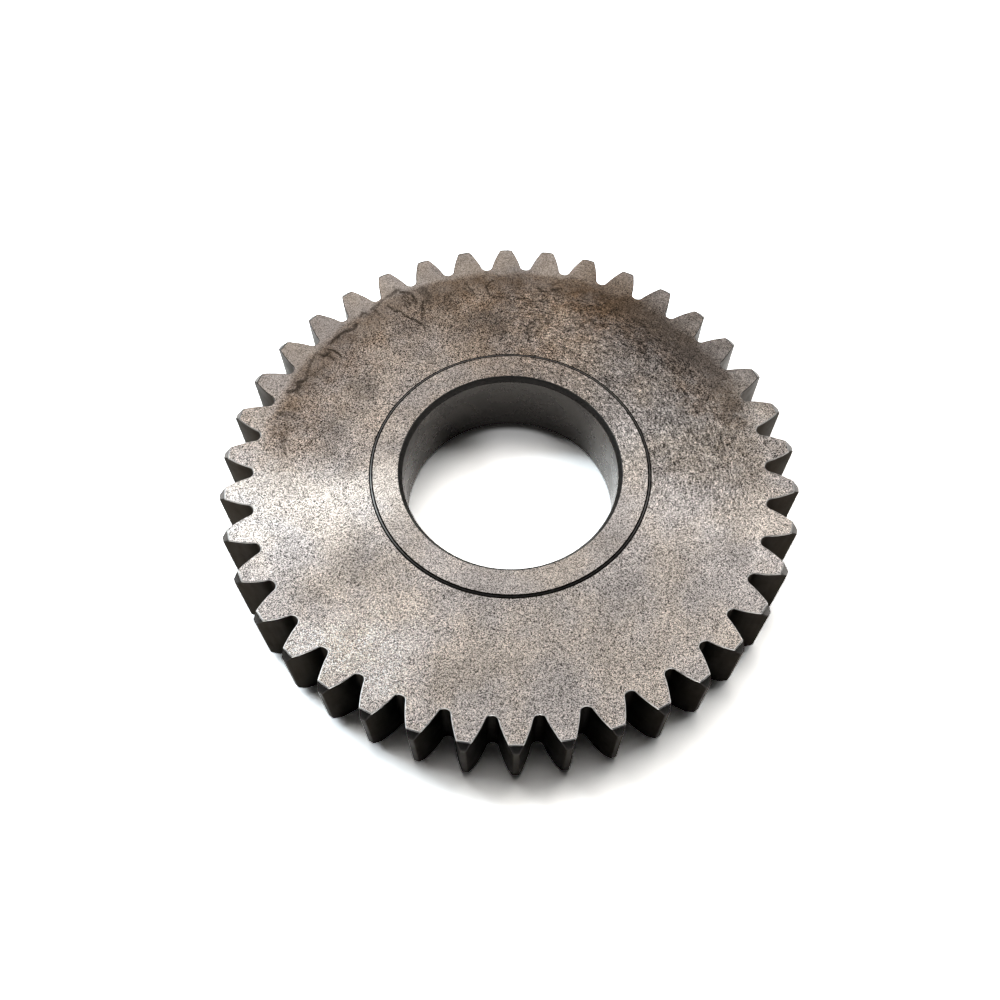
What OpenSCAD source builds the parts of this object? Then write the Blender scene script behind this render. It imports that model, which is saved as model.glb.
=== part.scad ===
// Planet gear: a one-piece spur gear that turns on a pin or a needle bearing in its plain bore.
// Millimetres. The gear's axis is Z and it lies on its lower hub face, at z = 0.
// A gap between two teeth is centred on +X.

/* [Teeth] */
// Number of teeth
teeth = 38; // [24:2:60]
// Module: pitch diameter over number of teeth
gear_module = 3; // [2:0.25:5]
// Pressure angle of the involute flanks, in degrees
pressure_angle = 25; // [20:0.5:28]
// Height of a tooth above the pitch circle
tooth_above_pitch = 3.25; // [2:0.05:3.6]
// Depth of a gap below the pitch circle
gap_below_pitch = 3.75; // [2.5:0.05:4.5]
// How much thinner a tooth is than half the circular pitch, so that it runs free
backlash = 0.12; // [0:0.01:0.4]
// Radius where a flank runs into the bottom of its gap, at most a full round
root_fillet = 1.15; // [0.2:0.05:2]
// Chamfer turned on the tips at both faces, 45 degrees
tip_chamfer = 1.4; // [0.2:0.1:2.5]
// Width of the teeth from face to face
face_w = 18; // [10:0.1:60]

/* [Hub] */
// Diameter of the raised hub at its foot
hub_d = 58.5; // [52:0.1:80]
// Rise of the hub above both faces of the teeth
hub_rise = 0.3; // [0.1:0.05:2]
// Width of the sloped shoulder round the hub
hub_shoulder = 0.5; // [0.1:0.05:1.5]
// Diameter of the bore
bore_d = 45; // [16:0.5:46]
// Width of the lead-in at both mouths of the bore
mouth_w = 0.75; // [0.2:0.05:1.5]
// Depth of that lead-in along the axis
mouth_h = 1.2; // [0.2:0.05:3]

/* [Hidden] */
$fn = 144;
flank_steps = 9;
fillet_steps = 6;
halving_steps = 24;
rad = 180 / PI;
overall_h = face_w + 2 * hub_rise;
pitch_r = gear_module * teeth / 2;
base_r = pitch_r * cos(pressure_angle);
tip_r = pitch_r + tooth_above_pitch;
root_r = pitch_r - gap_below_pitch;
cut_over = gear_module / 2;
gap_at_pitch = 90 / teeth + backlash / 2 / pitch_r * rad;
fillet_r = min(root_fillet, full_round(0, gear_module, halving_steps));
fillet_centre_r = root_r + fillet_r;

// Involute function in degrees, of the length of string unwound from the base circle
function inv(string) = string / base_r * rad - atan(string / base_r);

// String length at a radius, and the radius at a string length
function string_at(r) = sqrt(max(0, r * r - base_r * base_r));
function radius_at(string) = sqrt(base_r * base_r + string * string);

// Half angle of a gap at a string length
function gap_half(string) = gap_at_pitch - inv(string_at(pitch_r)) + inv(string);

// A fillet's centre lies on the flank's own involute, unwound by one more fillet radius
function fillet_half(f) = gap_half(string_at(root_r + f)) - f / base_r * rad;

// Largest fillet that fits the bottom of a gap, by halving
function full_round(lo, hi, n) =
    n == 0 ? lo :
    let (mid = (lo + hi) / 2)
    fillet_half(mid) > 0 ? full_round(mid, hi, n - 1) : full_round(lo, mid, n - 1);

function polar(r, angle) = [r * cos(angle), r * sin(angle)];

// One side of a gap, from the bottom of the gap up its fillet and flank to past the tip
function gap_side() =
    let (
        centre_half = fillet_half(fillet_r),
        centre = polar(fillet_centre_r, centre_half),
        foot_string = string_at(fillet_centre_r) - fillet_r,
        top_string = string_at(tip_r + cut_over),
        foot = polar(radius_at(foot_string), gap_half(foot_string)),
        toward_foot = atan2(foot.y - centre.y, foot.x - centre.x),
        toward_root = 180 + centre_half
    )
    concat(
        [for (i = [0 : fillet_steps])
            centre + polar(fillet_r, toward_root + (toward_foot - toward_root) * i / fillet_steps)],
        [for (i = [1 : flank_steps])
            let (string = foot_string + (top_string - foot_string) * i / flank_steps)
            polar(radius_at(string), gap_half(string))]
    );

module tooth_gap() {
    side = gap_side();
    other = [for (i = [len(side) - 1 : -1 : 0]) [side[i].x, -side[i].y]];
    translate([0, 0, -hub_rise])
        linear_extrude(overall_h + 2 * hub_rise)
            polygon(concat(side, other));
}

// The turned blank: bore, lead-ins, hubs and tip chamfers in one section
module blank() {
    lower = [
        [bore_d / 2, mouth_h],
        [bore_d / 2 + mouth_w, 0],
        [hub_d / 2 - hub_shoulder, 0],
        [hub_d / 2, hub_rise],
        [tip_r - tip_chamfer, hub_rise],
        [tip_r, hub_rise + tip_chamfer]
    ];
    upper = [for (i = [len(lower) - 1 : -1 : 0]) [lower[i].x, overall_h - lower[i].y]];
    rotate_extrude()
        polygon(concat(lower, upper));
}

module planet_gear() {
    color("darkgray")
        difference() {
            blank();
            for (k = [0 : teeth - 1])
                rotate(360 * k / teeth)
                    tooth_gap();
        }
}

planet_gear();
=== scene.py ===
import math
import bpy
from mathutils import Matrix, Quaternion, Vector


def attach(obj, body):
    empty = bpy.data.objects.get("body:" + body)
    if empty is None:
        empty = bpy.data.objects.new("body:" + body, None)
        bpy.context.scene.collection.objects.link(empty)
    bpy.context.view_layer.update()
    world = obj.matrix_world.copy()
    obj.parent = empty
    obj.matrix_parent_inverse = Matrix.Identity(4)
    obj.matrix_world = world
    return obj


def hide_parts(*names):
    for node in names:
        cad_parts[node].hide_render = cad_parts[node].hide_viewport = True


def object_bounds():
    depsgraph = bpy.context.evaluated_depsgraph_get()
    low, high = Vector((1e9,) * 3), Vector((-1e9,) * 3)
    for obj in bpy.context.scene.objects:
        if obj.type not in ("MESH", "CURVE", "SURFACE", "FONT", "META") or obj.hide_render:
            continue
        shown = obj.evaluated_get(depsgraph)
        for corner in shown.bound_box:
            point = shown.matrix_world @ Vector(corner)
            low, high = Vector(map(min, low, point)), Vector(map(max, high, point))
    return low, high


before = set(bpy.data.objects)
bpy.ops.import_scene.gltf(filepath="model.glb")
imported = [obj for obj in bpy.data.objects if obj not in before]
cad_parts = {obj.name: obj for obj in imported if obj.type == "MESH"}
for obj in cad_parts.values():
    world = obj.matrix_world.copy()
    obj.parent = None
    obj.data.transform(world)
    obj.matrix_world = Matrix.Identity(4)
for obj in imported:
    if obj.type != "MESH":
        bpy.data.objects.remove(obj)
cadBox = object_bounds()
mm = 0.001
print("frame loaded:", sorted(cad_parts))


# small helpers for objects

def deselectAll():
    bpy.ops.object.select_all(action="DESELECT")


def makeActive(thing):
    deselectAll()
    thing.select_set(True)
    bpy.context.view_layer.objects.active = thing


def applyModifier(thing, kind, **settings):
    makeActive(thing)
    modifier = thing.modifiers.new(kind.lower(), kind)
    for key, value in settings.items():
        setattr(modifier, key, value)
    bpy.ops.object.modifier_apply(modifier=modifier.name)


# small helpers for shader nodes: a socket given as a value is linked, anything else is set

def addNode(tree, kind, inputs=None, **settings):
    made = tree.nodes.new("ShaderNode" + kind)
    for key, value in settings.items():
        setattr(made, key, value)
    for key, value in (inputs or {}).items():
        if isinstance(value, bpy.types.NodeSocket):
            tree.links.new(value, made.inputs[key])
        else:
            made.inputs[key].default_value = value
    return made


def calc(tree, operation, *values, clamp=False):
    inputs = dict(enumerate(values))
    return addNode(tree, "Math", inputs, operation=operation, use_clamp=clamp).outputs[0]


def product(tree, value, *others):
    for other in others:
        value = calc(tree, "MULTIPLY", value, other)
    return value


def inverse(tree, value):
    return calc(tree, "SUBTRACT", 1.0, value)


def vectorCalc(tree, operation, *values, out="Vector"):
    return addNode(tree, "VectorMath", dict(enumerate(values)), operation=operation).outputs[out]


def scaled(tree, vector, amount):
    return addNode(tree, "VectorMath", {0: vector, "Scale": amount}, operation="SCALE").outputs[0]


def fade(tree, value, start, end, low=0.0, high=1.0):
    inputs = {"Value": value, "From Min": start, "From Max": end, "To Min": low, "To Max": high}
    return addNode(tree, "MapRange", inputs, interpolation_type="SMOOTHSTEP").outputs["Result"]


def window(tree, value, rise, full, lower, end):
    return product(tree, fade(tree, value, rise, full), fade(tree, value, end, lower))


# turns are given in degrees round the gear's axis, from +X

def degreesFade(tree, turn, limits, low=0.0, high=1.0):
    return fade(tree, turn, *(math.radians(a) for a in limits), low, high)


def degreesWindow(tree, turn, limits):
    return window(tree, turn, *(math.radians(a) for a in limits))


def radiusAndTurn(tree, place):
    parts = addNode(tree, "SeparateXYZ", {0: place}).outputs
    x, y = parts["X"], parts["Y"]
    squares = calc(tree, "ADD", calc(tree, "MULTIPLY", x, x), calc(tree, "MULTIPLY", y, y))
    return calc(tree, "SQRT", squares), calc(tree, "ARCTAN2", y, x)


def mixColour(tree, factor, first, second):
    made = addNode(tree, "Mix", {"Factor": factor}, data_type="RGBA")
    for index, value in ((6, first), (7, second)):      # the colour sockets of the node
        if isinstance(value, bpy.types.NodeSocket):
            tree.links.new(value, made.inputs[index])
        else:
            made.inputs[index].default_value = (*value, 1)
    return made.outputs[2]


def noise(tree, place, size, detail, roughness=0.5, out="Fac"):
    inputs = {"Vector": place, "Scale": 1 / size, "Detail": detail, "Roughness": roughness}
    return addNode(tree, "TexNoise", inputs).outputs[out]


def newMaterial(name):
    material = bpy.data.materials.new(name)
    material.use_nodes = True
    tree = material.node_tree
    shader = tree.nodes["Principled BSDF"]
    place = addNode(tree, "TexCoord").outputs["Object"]
    return material, tree, shader, place


def setShader(tree, shader, **values):
    for key, value in values.items():
        socket = shader.inputs[key.replace("_", " ")]
        if isinstance(value, bpy.types.NodeSocket):
            tree.links.new(value, socket)
        else:
            socket.default_value = value


def addBump(tree, shader, height, strength, distance):
    bump = addNode(tree, "Bump", {"Height": height, "Strength": strength, "Distance": distance})
    tree.links.new(bump.outputs["Normal"], shader.inputs["Normal"])


# turned and blasted faces, with the dirt that dried on the upper one

faceLook = {
    "warm": (0.415, 0.363, 0.318),
    "cool": (0.375, 0.340, 0.318),
    "hueSize": 11 * mm,
    "hueShift": (0.9, 0.2, 0),              # moves a pattern, so that no two fall together
    "hueRise": (0.36, 0.64),
    "grainSize": 0.14 * mm,
    "grainGain": 2.3,
    "dirtyGrain": 1.2,                      # how much stronger the grain stands under the film
    "darkest": 0.12,                        # least gain that a pattern gives
    "clumpSize": 0.9 * mm,
    "clumpShift": (0.3, 0.7, 0.1),
    "clumpGain": 0.12,
    "streakPitch": 0.48 * mm,
    "streakTurns": 26,                      # streaks are about a radius over this long
    "streakGain": 2.4,
    "streakTurn": (-35, 5, 70, 110),        # where the turning marks show
    "streakLeast": 0.06,                    # share of them elsewhere
    "streakRadius": (46 * mm, 51 * mm),     # they fade out towards the teeth
    "streakRim": 0.35,                      # share of them left there
    "blotchSize": 8 * mm,
    "blotchGain": 0.7,
    "hubRadius": (29.3 * mm, 29 * mm),
    "hubGain": 1.03,
    "hubGrain": 0.75,                       # the grain is finer on the hub
    "toothRadius": (51 * mm, 53 * mm),
    "toothGain": 1.1,
    "upperHeight": (12 * mm, 15 * mm),      # above this it is the upper face
    "roughness": 0.40,
    "filmRoughness": 0.14,                  # added under the film
    "markRoughness": 0.2,
    "anisotropy": 0.88,
    "anisotropyTurn": 0.25,                 # share of a full turn
    "pitSize": 0.3 * mm,
    "pitHeight": 0.006 * mm,
    "pitStrength": 0.5,
}

dirtLook = {
    "greyTint": (0.33, 0.29, 0.257),        # what is left of the steel's colour under thick dirt
    "brownTint": (0.40, 0.275, 0.165),
    "brownTurn": (45, 75),                  # past this it is brown
    "markColour": (0.065, 0.048, 0.035),
    "wanderSize": 7 * mm,                   # its edges wander
    "wanderReach": 7 * mm,
    "wanderTurn": 0.5,                      # radians
    "startTurn": (-20, 6),                  # where it fades in
    # the film ends right at the left highlight, so that this starts sharply: there it is partly painted
    # shade
    "endTurn": (187, 170),                  # and where it fades out
    "innerRadius": 29.4 * mm,
    "rootRadius": 52 * mm,
    "thin": 0.56,                           # depth at the inner radius
    "thick": 0.74,                          # and at the roots of the teeth
    "thinTurn": (98, 125),                  # past this the film is thin inside the rim
    "thinRadius": (48 * mm, 34 * mm),
    "thinShare": (0.12, 0.48),
    "cleanTipTurn": (62, 80),               # past this the tips of the teeth stay clean
    "cleanTipRadius": (51.2 * mm, 53.4 * mm),
    "cleanTipShare": (0.15, 0.6),
    "bandTurn": (5, 28, 50, 82),            # the thickest band along the roots
    "bandRadius": (37 * mm, 48 * mm, 50.5 * mm, 57 * mm),
    "band": 0.46,
    "cloudSize": 3.5 * mm,
    "cloudRise": (0.3, 0.7),
    "cloudGain": (0.75, 1.15),
    "hubTurn": (-14, 26, 145, 190),         # where it reaches onto the hub
    "hubShare": 0.65,
    "hubLeast": 0.12,
    "hubRadius": (29.1 * mm, 29.4 * mm),
    "smoothTurn": (4, 24, 150, 172),        # where the dried film fills the grain of the rim
    "smoothRadius": (44.5 * mm, 49.5 * mm),
    "smooth": 0.62,
}

markLook = {
    "warpSize": 1.6 * mm,
    "warpReach": 1.8 * mm,
    "core": 0.15,                           # share of the half width that is full
    "breakSize": 0.9 * mm,
    "breakRise": (0.28, 0.52),
    "breakGain": (0.5, 1.15),
}

cloudLook = {"warpSize": 4 * mm, "warpReach": 9 * mm}

# dried rims, hatching and scratches on the upper face: half width in mm, strength, then points in mm
faceMarks = [
    (0.8, 0.55, (-49, 14.5), (-47.5, 14)),
    (0.9, 0.70, (-47.5, 20), (-46, 20), (-45, 21), (-45.5, 22), (-44, 23.5)),
    (0.5, 0.50, (-44, 23.5), (-43.5, 25.5), (-42.5, 29), (-42, 30), (-40.5, 29.5)),
    (0.8, 0.75, (-40.5, 29.5), (-39.5, 30)),
    (0.5, 0.75, (-39.5, 31), (-38, 30.5), (-36.5, 29)),
    (0.5, 0.60, (-39.5, 29.5), (-38, 28.5)),
    (0.6, 0.65, (-39, 33), (-36, 36), (-34.5, 36.5), (-33.5, 38)),
    (0.5, 0.55, (-33, 40), (-32.5, 41), (-31, 40.5)),
    (0.6, 0.45, (-30.5, 42), (-27, 45.5)),
    (0.9, 0.55, (-27, 45.5), (-24.5, 47.5)),
    (0.5, 0.65, (-24, 47), (-22, 46.5), (-20.5, 44)),
    (0.3, 0.60, (-24, 45), (-22, 42.5)),
    (0.3, 0.60, (-23.5, 45.5), (-21.5, 43)),
    (0.3, 0.55, (-23, 46), (-20.5, 43.5)),
    (0.45, 0.75, (-27, 43), (-22.5, 40), (-19, 38)),
    (0.35, 0.50, (-30, 42), (-28.5, 40.5)),
    (0.35, 0.70, (-19, 44.5), (-19, 41.5)),
    (0.3, 0.45, (-19, 41.5), (-19, 39), (-18, 34.5)),
    (0.35, 0.50, (-19, 41.5), (-17.5, 42)),
    (1.6, 0.40, (-19, 47.5), (-17.5, 44.5)),
    (0.4, 0.50, (-22.5, 37), (-20, 36.5)),
    (0.3, 0.70, (-9.5, 49.5), (-7.5, 46.5)),
    (0.25, 0.60, (-9.5, 48), (-8.5, 46.5)),
    (0.4, 0.65, (-3.5, 50), (-5, 48), (-3.5, 45.5), (0.5, 45)),
    (0.4, 0.65, (2, 45), (4, 44.5)),
    (0.5, 0.60, (7, 47.5), (8.5, 46.5), (11.5, 47)),
    (0.35, 0.60, (4.5, 32.5), (4.5, 37), (6, 38.5)),
    (0.35, 0.50, (5.5, 34), (8.5, 38), (11.5, 39)),
    (0.25, 0.60, (-43.5, 5.5), (-38.5, 10)),
    (0.7, 0.45, (-48.5, 10), (-47.5, 8), (-47, 5)),
    (0.4, 0.50, (-43, 10.5), (-41, 12)),
    (0.22, 0.35, (-46, 30), (-44, 32)),
    (0.28, 0.90, (20.2, -16.3), (20.5, -16.3)),
]

# dark clouds on the upper face are stains, except those at the near right, which are painted shade; pale
# ones, with strength below zero, are painted light at the near left: radius in mm, strength, then the middle
# in mm
faceStainsAndPaintedLight = [
    (4.5, 0.28, (-14, 43)), (4.5, 0.40, (-5.5, 40)), (4.5, 0.36, (-2, 37)), (4, 0.26, (4, 35)),
    (5, 0.18, (-10, 36.5)), (4.5, 0.36, (-36.5, 10)), (4, 0.30, (-37.5, 5)), (4, 0.22, (-34.5, 0.5)),
    (4, 0.20, (-41, 2.5)), (4.5, 0.16, (-46, -4)), (9, 0.30, (-31, -19)), (4, 0.24, (-46.5, 14)),
    (5, 0.20, (-33.5, 14.5)), (7, 0.14, (10.5, -44)), (6, 0.10, (45, -20)),
    (11, 0.18, (22, -29)), (12, 0.16, (33, -24)), (7, 0.18, (20, -17)), (9, 0.24, (34, 4)),
    (9, 0.20, (31, 14)), (8, 0.16, (27, 21)), (9, 0.12, (42, 5)), (9, 0.16, (34, 26)),
    (14, -0.28, (-28, -36)), (13, -0.26, (-22, -40)), (8, -0.34, (-14, -21)), (12, -0.46, (-40, -40)),
    (10, -0.26, (-37, -44)), (10, -0.28, (-25, -50)), (9, -0.16, (-14, -33)), (5, 0.16, (-25.5, 7)),
    (5, 0.14, (-21, 14)), (6, 0.12, (26, 3)), (5, 0.34, (-31, 21)), (4.5, 0.24, (-19.5, 30)),
]


# a gain about one, from a pattern about a half
def centred(tree, pattern, gain):
    swing = calc(tree, "MULTIPLY", calc(tree, "SUBTRACT", pattern, 0.5), gain)
    return calc(tree, "MAXIMUM", calc(tree, "ADD", swing, 1.0), faceLook["darkest"])


# the place in the plane of the face, pushed about so that outlines wander
def warpedFlat(tree, place, look):
    push = noise(tree, place, look["warpSize"], detail=4, out="Color")
    push = vectorCalc(tree, "SUBTRACT", push, (0.5, 0.5, 0.5))
    push = vectorCalc(tree, "MULTIPLY", push, (look["warpReach"], look["warpReach"], 0))
    return vectorCalc(tree, "MULTIPLY", vectorCalc(tree, "ADD", place, push), (1, 1, 0))


def segmentMask(tree, flat, start, end, width):
    along = end - start
    away = vectorCalc(tree, "SUBTRACT", flat, tuple(start))
    reach = vectorCalc(tree, "DOT_PRODUCT", away, tuple(along.normalized()), out="Value")
    reach = calc(tree, "MINIMUM", calc(tree, "MAXIMUM", reach, 0.0), along.length)
    foot = scaled(tree, tuple(along.normalized()), reach)
    gap = vectorCalc(tree, "LENGTH", vectorCalc(tree, "SUBTRACT", away, foot), out="Value")
    return fade(tree, gap, width, width * markLook["core"])


def markMask(tree, place):
    look = markLook
    flat = warpedFlat(tree, place, look)
    total = 0.0
    for width, strength, *points in faceMarks:
        corners = [Vector((x, y, 0)) * mm for x, y in points]
        for start, end in zip(corners, corners[1:]):
            mask = segmentMask(tree, flat, start, end, width * mm)
            total = calc(tree, "MAXIMUM", total, calc(tree, "MULTIPLY", mask, strength))
    broken = noise(tree, place, look["breakSize"], detail=3)
    broken = fade(tree, broken, *look["breakRise"], *look["breakGain"])
    return calc(tree, "MULTIPLY", total, broken, clamp=True)


# stains, with painted shade and painted light, as clouds on the upper face
def stainsAndPaintedLight(tree, place):
    flat = warpedFlat(tree, place, cloudLook)
    shade = 1.0
    for radius, strength, (x, y) in faceStainsAndPaintedLight:
        gap = vectorCalc(tree, "DISTANCE", flat, (x * mm, y * mm, 0), out="Value")
        shade = calc(tree, "MULTIPLY", shade, fade(tree, gap, 0.0, radius * mm, 1 - strength, 1.0))
    return shade


def dirtFilm(tree, place, radius, turn):
    look = dirtLook
    wander = noise(tree, place, look["wanderSize"], detail=6, roughness=0.65)
    wander = calc(tree, "SUBTRACT", wander, 0.5)
    edge = calc(tree, "MULTIPLY_ADD", wander, look["wanderReach"], radius)
    angle = calc(tree, "MULTIPLY_ADD", wander, look["wanderTurn"], turn)
    depth = fade(tree, edge, look["innerRadius"], look["rootRadius"], look["thin"], look["thick"])
    starts = degreesFade(tree, angle, look["startTurn"])
    ends = degreesFade(tree, angle, look["endTurn"])
    thinned = fade(tree, edge, *look["thinRadius"], *look["thinShare"])
    thinned = product(tree, degreesFade(tree, angle, look["thinTurn"]), thinned)
    cleanTip = degreesFade(tree, angle, look["cleanTipTurn"], *look["cleanTipShare"])
    cleanTip = product(tree, fade(tree, edge, *look["cleanTipRadius"]), cleanTip)
    depth = product(tree, depth, starts, ends, inverse(tree, thinned), inverse(tree, cleanTip))
    band = degreesWindow(tree, angle, look["bandTurn"])
    band = product(tree, band, window(tree, edge, *look["bandRadius"]))
    depth = calc(tree, "MULTIPLY_ADD", band, look["band"], depth)
    cloud = noise(tree, place, look["cloudSize"], detail=5, roughness=0.7)
    cloud = fade(tree, cloud, *look["cloudRise"], *look["cloudGain"])
    onHub = degreesWindow(tree, turn, look["hubTurn"])
    onHub = calc(tree, "MULTIPLY_ADD", onHub, look["hubShare"], look["hubLeast"])
    share = calc(tree, "MAXIMUM", onHub, fade(tree, radius, *look["hubRadius"]))
    return calc(tree, "MULTIPLY", product(tree, depth, cloud), share, clamp=True)


# light and dark of the face: grain, clumps, turning marks, blotches, and clouds that are stains, painted
# shade and painted light
def faceShade(tree, place, radius, turn, film, upper):
    look = faceLook
    ringPlace = addNode(tree, "CombineXYZ", {
        "X": calc(tree, "DIVIDE", radius, look["streakPitch"]),
        "Y": product(tree, calc(tree, "COSINE", turn), look["streakTurns"]),
        "Z": product(tree, calc(tree, "SINE", turn), look["streakTurns"])}).outputs[0]
    cellInputs = {"Vector": place, "Scale": 1 / look["grainSize"]}
    cells = addNode(tree, "TexVoronoi", cellInputs, voronoi_dimensions="2D").outputs["Color"]
    grain = addNode(tree, "SeparateColor", {0: cells}).outputs[0]
    clump = noise(tree, vectorCalc(tree, "ADD", place, look["clumpShift"]), look["clumpSize"], detail=1)
    streak = noise(tree, ringPlace, 1.0, detail=1)
    blotch = noise(tree, place, look["blotchSize"], detail=4, roughness=0.6)
    filled = fade(tree, radius, *dirtLook["smoothRadius"], 0.0, dirtLook["smooth"])
    filled = product(tree, degreesWindow(tree, turn, dirtLook["smoothTurn"]), upper, filled)
    finer = fade(tree, radius, *look["hubRadius"], 1.0, look["hubGrain"])
    contrast = calc(tree, "MULTIPLY_ADD", film, look["dirtyGrain"], 1.0)
    contrast = product(tree, contrast, inverse(tree, filled), finer)
    streaked = degreesWindow(tree, turn, look["streakTurn"])
    streaked = fade(tree, streaked, 0, 1, look["streakLeast"], 1.0)
    streaked = product(tree, streaked, fade(tree, radius, *look["streakRadius"], 1.0, look["streakRim"]))
    return product(
        tree,
        centred(tree, grain, product(tree, contrast, look["grainGain"])),
        centred(tree, clump, product(tree, contrast, look["clumpGain"])),
        centred(tree, streak, product(tree, streaked, look["streakGain"])),
        centred(tree, blotch, look["blotchGain"]),
        fade(tree, upper, 0, 1, 1.0, stainsAndPaintedLight(tree, place)),
        fade(tree, radius, *look["hubRadius"], 1.0, look["hubGain"]),
        fade(tree, radius, *look["toothRadius"], 1.0, look["toothGain"]))


def blastedFace():
    look = faceLook
    material, tree, shader, place = newMaterial("blastedFace")
    radius, turn = radiusAndTurn(tree, place)
    height = addNode(tree, "SeparateXYZ", {0: place}).outputs["Z"]
    upper = fade(tree, height, *look["upperHeight"])
    film = product(tree, dirtFilm(tree, place, radius, turn), upper)
    marks = product(tree, markMask(tree, place), upper)
    hue = noise(tree, vectorCalc(tree, "ADD", place, look["hueShift"]), look["hueSize"], detail=3)
    steel = mixColour(tree, fade(tree, hue, *look["hueRise"]), look["cool"], look["warm"])
    steel = scaled(tree, steel, faceShade(tree, place, radius, turn, film, upper))
    brown = degreesFade(tree, turn, dirtLook["brownTurn"])
    tint = mixColour(tree, brown, dirtLook["greyTint"], dirtLook["brownTint"])
    steel = mixColour(tree, film, steel, vectorCalc(tree, "MULTIPLY", steel, tint))
    steel = mixColour(tree, marks, steel, dirtLook["markColour"])
    rough = calc(tree, "MULTIPLY_ADD", film, look["filmRoughness"], look["roughness"])
    rough = calc(tree, "MULTIPLY_ADD", marks, look["markRoughness"], rough, clamp=True)
    setShader(tree, shader, Base_Color=steel, Roughness=rough, Metallic=1.0,
              Anisotropic=look["anisotropy"], Anisotropic_Rotation=look["anisotropyTurn"])
    tangent = addNode(tree, "Tangent", direction_type="RADIAL", axis="Z")
    tree.links.new(tangent.outputs[0], shader.inputs["Tangent"])
    pits = noise(tree, place, look["pitSize"], detail=1)
    addBump(tree, shader, pits, look["pitStrength"], look["pitHeight"])
    return material


# smooth cut and ground surfaces

# the painted light and shade are gains over a range of the turn, standing in for reflections and shade that
# fall there: degrees where one rises, is full, falls and ends
# the flank, tip and chamfer colours are darker than bare steel, so that these faces show as dark as they do
# under this light: in part painted shade
cutLooks = {
    # flanks from about 4 to 64 degrees are paler: a painted reflection of the pale floor
    "flank": {"colour": (0.025, 0.0235, 0.0222), "grazing": 0.42, "roughness": 0.33, "stretch": (1, 1, 0.08),
              "paintedLightAndShade": [((4, 28, 50, 64), 3.0)]},
    "tip": {"colour": (0.024, 0.0227, 0.0215), "grazing": 0.50, "roughness": 0.36, "stretch": (1, 1, 0.08)},
    # the bore wall is darker at the back and paler at the right: painted shade and a painted reflection of
    # the floor
    "bore": {"colour": (0.068, 0.062, 0.057), "grazing": 1.0, "roughness": 0.26, "stretch": (1, 1, 6),
             "paintedLightAndShade": [((28, 46, 122, 152), 0.43), ((-70, -50, 26, 40), 1.4)]},
    # chamfers are paler at the left and right and darker at the near side: painted reflections and painted
    # shade
    "chamfer": {"colour": (0.033, 0.031, 0.0295), "grazing": 0.9, "roughness": 0.38, "stretch": (1, 1, 3),
                "paintedLightAndShade": [((-45, -25, 40, 60), 3.2), ((145, 160, 181, 190), 3.4),
                           ((-190, -181, -172, -155), 3.0), ((-150, -130, -50, -35), 0.6)]},
    "mouth": {"colour": (0.065, 0.061, 0.057), "grazing": 0.8, "roughness": 0.45, "stretch": (1, 1, 3)},
}

# what all of them share
cutFinish = {
    "grazingHue": (1.0, 0.98, 0.96),
    "stainSize": 6 * mm,
    "stainGain": 0.7,
    "lineSize": 0.5 * mm,                   # lines of the cutter
    "lineGain": 1.5,
    "lineShare": 0.5,
    "lineHeight": 0.008 * mm,
    "lineStrength": 0.25,
    "patternRise": (0.3, 0.7),
    "speckSize": 0.8 * mm,
    "speckRise": (0.70, 0.78),
    "speckShare": 0.6,
    "speckColour": (0.015, 0.013, 0.012),
    "smoother": 0.05,                       # the roughness varies by these
    "rougher": 0.08,
}


def cutSteel(name):
    look, finish = cutLooks[name], cutFinish
    rise = finish["patternRise"]
    stained = tuple(finish["stainGain"] * c for c in look["colour"])
    lined = tuple(finish["lineGain"] * c for c in look["colour"])
    material, tree, shader, place = newMaterial(name + "Steel")
    lengthwise = addNode(tree, "Mapping", {"Vector": place, "Scale": look["stretch"]}).outputs[0]
    lines = noise(tree, lengthwise, finish["lineSize"], detail=3, roughness=0.6)
    cloud = noise(tree, place, finish["stainSize"], detail=4, roughness=0.6)
    specks = fade(tree, noise(tree, place, finish["speckSize"], detail=1), *finish["speckRise"])
    steel = mixColour(tree, fade(tree, cloud, *rise), look["colour"], stained)
    steel = mixColour(tree, fade(tree, lines, *rise, 0.0, finish["lineShare"]), steel, lined)
    steel = mixColour(tree, product(tree, specks, finish["speckShare"]), steel, finish["speckColour"])
    turn = radiusAndTurn(tree, place)[1]
    # painted light and shade, as gains over ranges of the turn
    for limits, gain in look.get("paintedLightAndShade", []):
        steel = scaled(tree, steel, fade(tree, degreesWindow(tree, turn, limits), 0, 1, 1.0, gain))
    smoothest, roughest = look["roughness"] - finish["smoother"], look["roughness"] + finish["rougher"]
    rough = fade(tree, cloud, *rise, smoothest, roughest)
    setShader(tree, shader, Base_Color=steel, Roughness=rough, Metallic=1.0,
              Specular_Tint=(*(look["grazing"] * c for c in finish["grazingHue"]), 1))
    addBump(tree, shader, lines, finish["lineStrength"], finish["lineHeight"])
    return material


# the hub's shoulder: a worn slope between two dark lines, one at its foot and one along its rim

shoulderLook = {
    "slope": (0.25, 0.235, 0.22),
    "line": (0.016, 0.013, 0.011),
    "foot": 29.25 * mm,
    "rim": 28.75 * mm,
    "lineWidth": 0.17 * mm,
    "lineEdge": (0.7, 1.1),                 # in line widths
    "wearSize": 1.2 * mm,
    "wearWidth": 0.25 * mm,                 # how much the lines' width varies
    "wearHeight": 0.01 * mm,
    "wearStrength": 0.3,
    "roughness": 0.36,
    "lineRoughness": 0.6,
}


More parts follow.
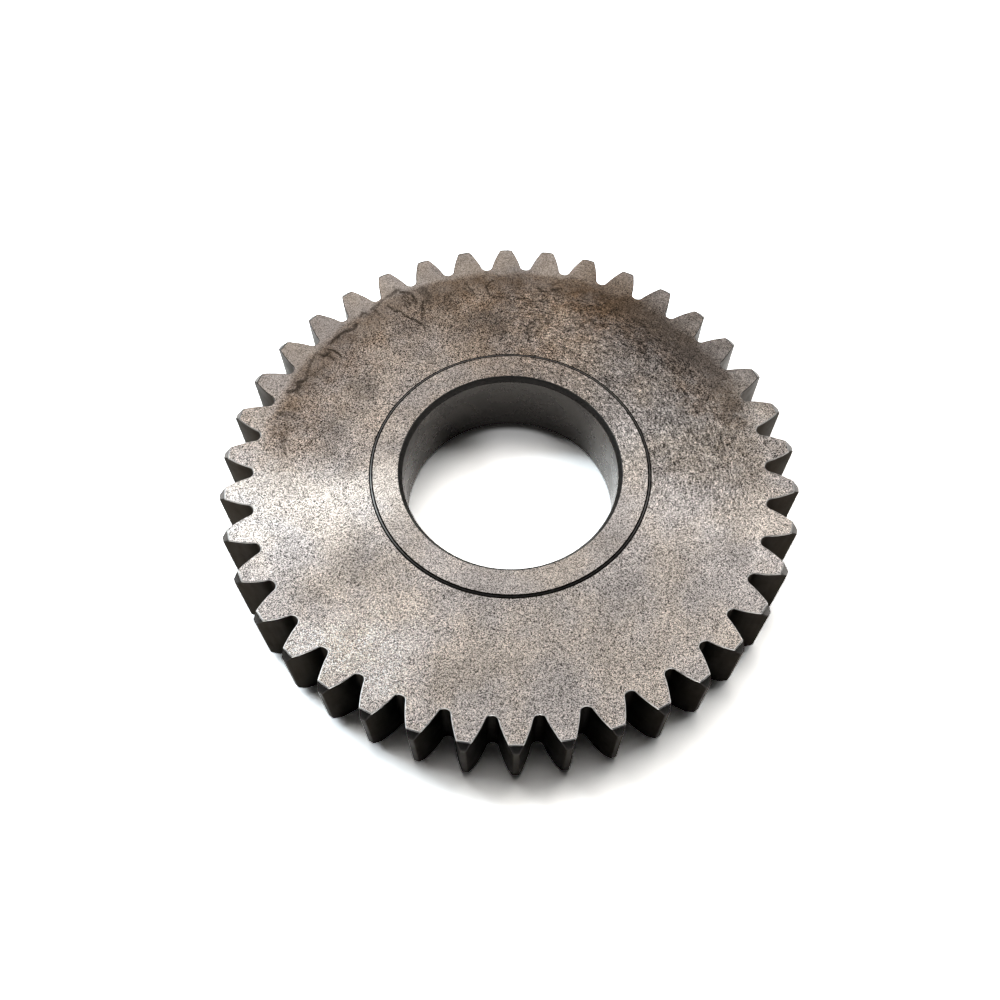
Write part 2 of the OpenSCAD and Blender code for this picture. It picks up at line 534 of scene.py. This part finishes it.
def shoulderSteel():
    look = shoulderLook
    material, tree, shader, place = newMaterial("shoulderSteel")
    radius = radiusAndTurn(tree, place)[0]
    wear = calc(tree, "SUBTRACT", noise(tree, place, look["wearSize"], detail=4, roughness=0.7), 0.5)
    wide = calc(tree, "MULTIPLY_ADD", wear, look["wearWidth"], look["lineWidth"])
    fromFoot = calc(tree, "DIVIDE", calc(tree, "SUBTRACT", look["foot"], radius), wide)
    fromRim = calc(tree, "DIVIDE", calc(tree, "SUBTRACT", radius, look["rim"]), wide)
    clean = fade(tree, calc(tree, "MINIMUM", fromFoot, fromRim), *look["lineEdge"])
    steel = mixColour(tree, clean, look["line"], look["slope"])
    rough = fade(tree, clean, 0, 1, look["lineRoughness"], look["roughness"])
    setShader(tree, shader, Base_Color=steel, Roughness=rough, Metallic=1.0)
    addBump(tree, shader, wear, look["wearStrength"], look["wearHeight"])
    return material


# the broken edges: bright at the near side by a painted highlight, dark where dirt holds on the teeth

edgeLook = {
    # a painted highlight on the edges at the near side
    "paintedHighlight": (0.92, 0.885, 0.85),
    "paintedHighlightTurn": (-160, -140, -40, -20),
    "plain": (0.42, 0.40, 0.38),
    "dirty": (0.035, 0.029, 0.025),
    "dirtyTurn": (8, 22, 160, 176),
    "dirtyRadius": (42 * mm, 50 * mm),
    "patchSize": 0.7 * mm,
    "patchRise": (0.3, 0.7),
    "patchHeight": 0.02 * mm,
    "patchStrength": 0.4,
    "chipRise": (0.62, 0.72),
    "chipShare": 0.8,
    "roughness": (0.27, 0.45),
}


def edgeDirtAndPaintedHighlight():
    look = edgeLook
    material, tree, shader, place = newMaterial("edgeDirtAndPaintedHighlight")
    radius, turn = radiusAndTurn(tree, place)
    patch = noise(tree, place, look["patchSize"], detail=3, roughness=0.7)
    dirty = degreesWindow(tree, turn, look["dirtyTurn"])
    dirty = product(tree, dirty, fade(tree, radius, *look["dirtyRadius"]))
    chipped = fade(tree, patch, *look["chipRise"], 0.0, look["chipShare"])
    # the painted highlight along the near edges
    paintedHighlight = degreesWindow(tree, turn, look["paintedHighlightTurn"])
    colour = mixColour(tree, paintedHighlight, look["plain"], look["paintedHighlight"])
    colour = mixColour(tree, calc(tree, "MAXIMUM", dirty, chipped), colour, look["dirty"])
    rough = fade(tree, patch, *look["patchRise"], *look["roughness"])
    setShader(tree, shader, Base_Color=colour, Roughness=rough, Metallic=1.0)
    addBump(tree, shader, patch, look["patchStrength"], look["patchHeight"])
    return material


# the gear: a copy of the CAD solid with its sharp edges broken

gearLook = {
    "node": "planet_gear",
    "edgeBreak": 0.17 * mm,
    "edgeSegments": 2,
    "sharpAngle": 24,           # degrees
    "levelAngle": 0.3,          # degrees; triangles that differ less are one face
    "flatNormal": 0.97,         # a face steeper than this is not a plain face
    "slopeNormal": 0.5,         # one flatter than this is a chamfer
    "wallNormal": 0.1,          # one steeper than this is a wall
    "boreReach": 22.6 * mm,     # inside this radius is bore wall
    "mouthReach": 24 * mm,      # inside this radius a slope is the bore's lead-in
    "tipReach": 60.1 * mm,      # outside this radius is the land of a tooth
    "hubReach": 32 * mm,        # inside this radius a slope is the hub's shoulder
    "edgeDepth": 0.2 * mm,      # a broken edge this near a tooth face shows as one
    "merge": 0.002 * mm,
    "normalWeight": 60,
}


def regionOf(face):
    look = gearLook
    radius = math.hypot(face.center.x, face.center.y)
    flat = abs(face.normal.z)
    if flat > look["flatNormal"]:
        return "face"
    if radius < look["boreReach"] and flat < look["wallNormal"]:
        return "bore"
    if radius < look["mouthReach"]:
        return "mouth"
    if radius < look["hubReach"]:
        return "shoulder"
    if flat > look["slopeNormal"]:
        return "chamfer"
    return "tip" if radius > look["tipReach"] else "flank"


def edgeRegionOf(face, lowest, highest):
    look = gearLook
    radius = math.hypot(face.center.x, face.center.y)
    if radius < look["boreReach"] + look["edgeBreak"]:
        return "bore"
    if radius < look["mouthReach"]:
        return "mouth"
    if radius < look["hubReach"]:
        return "shoulder"
    nearFace = min(face.center.z - lowest, highest - face.center.z) < look["edgeDepth"]
    return "edge" if nearFace else "flank"


def makeGear():
    look = gearLook
    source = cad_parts[look["node"]]
    gear = bpy.data.objects.new("planetGearDressed", source.data.copy())
    bpy.context.scene.collection.objects.link(gear)
    gear.data.materials.clear()
    materials = {"face": blastedFace(), "edge": edgeDirtAndPaintedHighlight(), "shoulder": shoulderSteel()}
    materials.update({name: cutSteel(name) for name in cutLooks})
    for material in materials.values():
        gear.data.materials.append(material)
    order = list(materials)
    makeActive(gear)
    bpy.ops.object.mode_set(mode="EDIT")
    bpy.ops.mesh.select_all(action="SELECT")
    bpy.ops.mesh.remove_doubles(threshold=look["merge"])
    bpy.ops.mesh.dissolve_limited(angle_limit=math.radians(look["levelAngle"]))
    bpy.ops.object.mode_set(mode="OBJECT")
    for face in gear.data.polygons:
        face.material_index = order.index(regionOf(face))
    outer = [v.co.z for v in gear.data.vertices if math.hypot(v.co.x, v.co.y) > look["hubReach"]]
    applyModifier(gear, "BEVEL", limit_method="ANGLE", angle_limit=math.radians(look["sharpAngle"]),
                  width=look["edgeBreak"], segments=look["edgeSegments"], material=order.index("edge"))
    for face in gear.data.polygons:
        if face.material_index == order.index("edge"):
            face.material_index = order.index(edgeRegionOf(face, min(outer), max(outer)))
    makeActive(gear)
    bpy.ops.object.shade_smooth()
    applyModifier(gear, "WEIGHTED_NORMAL", mode="FACE_AREA", weight=look["normalWeight"], keep_sharp=True)
    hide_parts(look["node"])
    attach(gear, "root")
    return gear


gear = makeGear()
print("gear dressed:", len(gear.data.polygons), "faces")


# floor, light and camera

floorLook = {
    "radius": 2.5,
    "sides": 96,
    "colour": (0.91, 0.91, 0.91),
    "roughness": 0.6,
    "gloss": 0.2,
    "seenColour": (5.6, 5.45, 5.25),        # what the camera and reflections see, so that it is white
    "fill": 0.27,                           # lifts the shadow seen at the back of the bore
    "fillRadius": (22.6 * mm, 20.8 * mm),
    "fillTurn": (35, 80, 92, 126),
}


# what the camera and reflections see, and no light that falls on anything
def seenRays(tree):
    path = addNode(tree, "LightPath").outputs
    seen = calc(tree, "ADD", path["Is Camera Ray"], path["Is Glossy Ray"])
    seen = calc(tree, "ADD", seen, path["Is Transmission Ray"], clamp=True)
    undiffused = calc(tree, "LESS_THAN", path["Diffuse Depth"], 0.5)
    return product(tree, seen, undiffused)


def makeFloor():
    look = floorLook
    deselectAll()
    bpy.ops.mesh.primitive_circle_add(vertices=look["sides"], radius=look["radius"], fill_type="NGON")
    floor = bpy.context.object
    floor.name = "floor"
    material, tree, shader, place = newMaterial("paleFloor")
    setShader(tree, shader, Base_Color=(*look["colour"], 1), Roughness=look["roughness"],
              Specular_IOR_Level=look["gloss"])
    bright = addNode(tree, "BsdfDiffuse", {"Color": (*look["seenColour"], 1)})
    radius, turn = radiusAndTurn(tree, place)
    fill = fade(tree, radius, *look["fillRadius"])
    fill = product(tree, fill, look["fill"], degreesWindow(tree, turn, look["fillTurn"]))
    lifted = addNode(tree, "Emission", {"Strength": fill})
    bright = addNode(tree, "AddShader", {0: bright.outputs[0], 1: lifted.outputs[0]})
    both = addNode(tree, "MixShader", {0: seenRays(tree), 1: shader.outputs[0], 2: bright.outputs[0]})
    tree.links.new(both.outputs[0], tree.nodes["Material Output"].inputs["Surface"])
    floor.data.materials.append(material)


# area lamps that face the gear: degrees, metres and watts; the roll turns a strip about its own axis
lamps = {
    "stripLeft": {"azimuth": 151, "elevation": 40, "roll": 25, "size": (0.10, 0.6), "power": 1.74,
                  "colour": (0.78, 0.90, 1.0)},
    "sideLeft": {"azimuth": 168, "elevation": 38, "roll": 25, "size": (0.13, 0.4), "power": 0.35,
                 "colour": (0.95, 0.98, 1.0)},
    "lowRight": {"azimuth": 23, "elevation": 42, "roll": -25, "size": (0.12, 0.5), "power": 0.36,
                 "colour": (0.93, 0.97, 1.0)},
}
lampDistance = 0.8


def makeLamps(centre):
    for name, lamp in lamps.items():
        turn, rise = math.radians(lamp["azimuth"]), math.radians(lamp["elevation"])
        toward = Vector((math.cos(turn) * math.cos(rise), math.sin(turn) * math.cos(rise), math.sin(rise)))
        data = bpy.data.lights.new(name, "AREA")
        data.shape = "RECTANGLE"
        data.size, data.size_y = lamp["size"]
        data.energy = lamp["power"]
        data.color = lamp["colour"]
        made = bpy.data.objects.new(name, data)
        bpy.context.scene.collection.objects.link(made)
        made.location = centre + toward * lampDistance
        turned = toward.to_track_quat("Z", "Y") @ Quaternion((0, 0, 1), math.radians(lamp["roll"]))
        made.rotation_euler = turned.to_euler()
        made.visible_camera = False


# the studio around the gear: a soft light overhead that leans to the back, dim walls, a dark front
# on the camera's side, and a pale band along the horizon
worldLook = {
    "overhead": 2.1,
    "overheadLean": 31,             # degrees from straight up, to the back
    "overheadRise": (0.86, 0.97),   # cosine of the angle from its middle
    "walls": 0.06,
    "front": 0.005,
    "frontEdge": (0.30, -0.05),     # along Y, where the walls turn dark
    "horizon": 0.95,
    "horizonRise": (0.20, 0.14),    # sine of the elevation, above which the pale band ends
}


def makeWorld():
    look = worldLook
    world = bpy.data.worlds.new("studio")
    bpy.context.scene.world = world
    world.use_nodes = True
    tree = world.node_tree
    toward = addNode(tree, "TexCoord").outputs["Generated"]
    parts = addNode(tree, "SeparateXYZ", {0: toward}).outputs
    lean = math.radians(look["overheadLean"])
    nearLight = vectorCalc(tree, "DOT_PRODUCT", toward, (0, math.sin(lean), math.cos(lean)), out="Value")
    overhead = fade(tree, nearLight, *look["overheadRise"])
    walls = fade(tree, parts["Y"], *look["frontEdge"], look["walls"], look["front"])
    pale = product(tree, fade(tree, parts["Z"], *look["horizonRise"]), seenRays(tree))
    level = addNode(tree, "Mix", {0: overhead, 2: walls, 3: look["overhead"]}).outputs[0]
    level = addNode(tree, "Mix", {0: pale, 2: level, 3: look["horizon"]}).outputs[0]
    tree.links.new(level, tree.nodes["Background"].inputs["Strength"])
    tree.nodes["Background"].inputs["Color"].default_value = (1, 1, 1, 1)


cameraLook = {
    "aim": (1.64, -20.03, 18.3),    # mm, on the upper tooth face
    "distance": 215.6,              # mm
    "azimuth": -2.97,               # degrees from -Y towards +X
    "elevation": 63.94,
    "roll": 1.89,
    "lens": 38.82,
    "sensor": 36,
    "shift": (-0.0205, 0.0557),
    "clip": (0.01, 20),             # metres
}


def makeCamera():
    look = cameraLook
    turn, rise = math.radians(look["azimuth"]), math.radians(look["elevation"])
    back = Vector((math.sin(turn) * math.cos(rise), -math.cos(turn) * math.cos(rise), math.sin(rise)))
    data = bpy.data.cameras.new("camera")
    data.lens = look["lens"]
    data.sensor_width = look["sensor"]
    data.shift_x, data.shift_y = look["shift"]
    data.clip_start, data.clip_end = look["clip"]
    camera = bpy.data.objects.new("camera", data)
    bpy.context.scene.collection.objects.link(camera)
    level = back.to_track_quat("Z", "Y").to_matrix().to_4x4()
    place = Vector(look["aim"]) * mm + back * look["distance"] * mm
    rolled = level @ Matrix.Rotation(math.radians(look["roll"]), 4, "Z")
    camera.matrix_world = Matrix.Translation(place) @ rolled
    bpy.context.scene.camera = camera


makeFloor()
makeLamps((cadBox[0] + cadBox[1]) / 2)
makeWorld()
makeCamera()
bpy.context.scene.view_settings.view_transform = "Standard"
print("floor, light and camera made")
